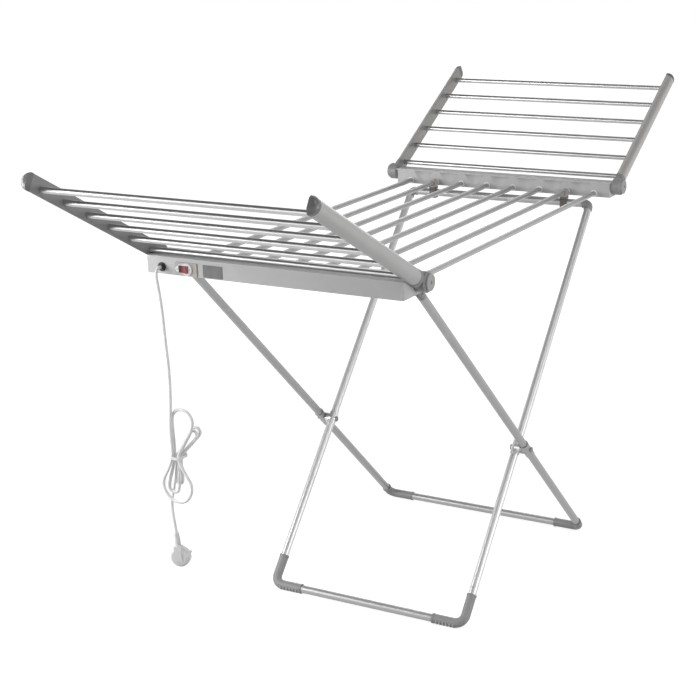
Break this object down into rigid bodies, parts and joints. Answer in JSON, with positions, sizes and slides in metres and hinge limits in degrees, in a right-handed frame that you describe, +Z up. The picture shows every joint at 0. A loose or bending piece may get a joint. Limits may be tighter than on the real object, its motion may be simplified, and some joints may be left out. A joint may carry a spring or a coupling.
{
  "type": "heated clothes airer",
  "caption": "Folding floor-standing clothes airer with electrically warmed bars, raised hinged wings, crossed tube frames, rocker switch and mains cord",
  "frame": {"origin": "on the floor, under the middle of the airer", "axes": "+X along the warm bars of the main rack, towards the rail without the switch; +Y across the rack, towards the cord's side; +Z up"},
  "size_m": [1.4862, 0.539, 0.905],
  "materials": {
    "rail_plastic": "satin light grey moulding",
    "warm_bars": "smooth satin aluminium tube",
    "arm_profile": "satin extruded profile",
    "leg_tube": "satin tube",
    "grey_plastic": "satin grey moulding",
    "dark_plastic": "matt dark grey moulding",
    "bush_plastic": "satin grey moulding",
    "cap_plastic": "satin light grey moulding",
    "plate_plastic": "matt grey",
    "white_plastic": "smooth white moulding",
    "red_plastic": "gloss translucent red",
    "steel_pins": "plain steel pin",
    "black_rubber": "matt black",
    "white_cord": "smooth white sheath",
    "plug_brass": "plated contact pins"
  },
  "bodies": {
    "rack": {"near_rail": "rail_plastic", "near_rail_lid": "rail_plastic", "far_rail": "rail_plastic", "far_rail_lid": "rail_plastic", "main_bar_1": "warm_bars", "main_bar_2": "warm_bars", "main_bar_3": "warm_bars", "main_bar_4": "warm_bars", "main_bar_5": "warm_bars", "main_bar_6": "warm_bars", "main_bar_7": "warm_bars", "main_bar_8": "warm_bars", "near_ferrules": "bush_plastic", "far_ferrules": "bush_plastic", "outer_pivot_pins": "steel_pins", "hinge_pins": "steel_pins", "hinge_discs": "cap_plastic", "clip_left": "bush_plastic", "clip_right": "bush_plastic", "switch_plate": "plate_plastic", "switch_case": "white_plastic", "cord_gland": "black_rubber", "cord_upper": "white_cord", "cord_hank": "white_cord", "cord_tie": "white_cord", "cord_tail": "white_cord", "plug_relief": "white_cord", "plug_body": "white_plastic", "plug_pins": "plug_brass"},
    "rocker": {"rocker": "red_plastic"},
    "near_wing": {"near_arm_left": "arm_profile", "near_arm_right": "arm_profile", "near_knuckles": "dark_plastic", "near_arm_caps": "cap_plastic", "near_wing_bars": "warm_bars"},
    "far_wing": {"far_arm_left": "arm_profile", "far_arm_right": "arm_profile", "far_knuckles": "dark_plastic", "far_arm_caps": "cap_plastic", "far_wing_bars": "warm_bars"},
    "outer_frame": {"outer_leg_left": "leg_tube", "outer_leg_right": "leg_tube", "outer_floor_bar": "leg_tube", "outer_elbow_left": "grey_plastic", "outer_elbow_right": "grey_plastic", "outer_leg_eyes": "dark_plastic", "outer_crossing_sleeves": "grey_plastic", "crossing_pins": "steel_pins"},
    "inner_frame": {"inner_leg_left": "leg_tube", "inner_leg_right": "leg_tube", "inner_floor_bar": "leg_tube", "inner_top_bar": "leg_tube", "inner_elbow_left": "grey_plastic", "inner_elbow_right": "grey_plastic", "inner_top_elbow_left": "grey_plastic", "inner_top_elbow_right": "grey_plastic", "inner_crossing_sleeves": "grey_plastic"}
  },
  "joints": [
    {"name": "near_wing_fold", "type": "hinge", "parent": "rack", "child": "near_wing", "pos_m": [-0.422, 0, 0.7125], "axis": [0, 1, 0], "range_deg": [0, 150]},
    {"name": "far_wing_fold", "type": "hinge", "parent": "rack", "child": "far_wing", "pos_m": [0.422, 0, 0.7125], "axis": [0, -1, 0], "range_deg": [0, 150]},
    {"name": "leg_fold", "type": "hinge", "parent": "rack", "child": "outer_frame", "pos_m": [-0.397, 0, 0.697], "axis": [0, -1, 0], "range_deg": [0, 42.35]},
    {"name": "inner_leg_fold", "type": "hinge", "parent": "outer_frame", "child": "inner_frame", "pos_m": [0.03603, 0, 0.2737], "axis": [0, -1, 0], "range_deg": [-89.7, 0]},
    {"name": "switch_rock", "type": "hinge", "parent": "rack", "child": "rocker", "pos_m": [-0.468, 0.17, 0.7029], "axis": [0, 0, 1], "range_deg": [0, 16]}
  ],
  "couplings": [
    {"joint": "inner_leg_fold", "follows": "leg_fold", "ratio": -2.116}
  ]
}
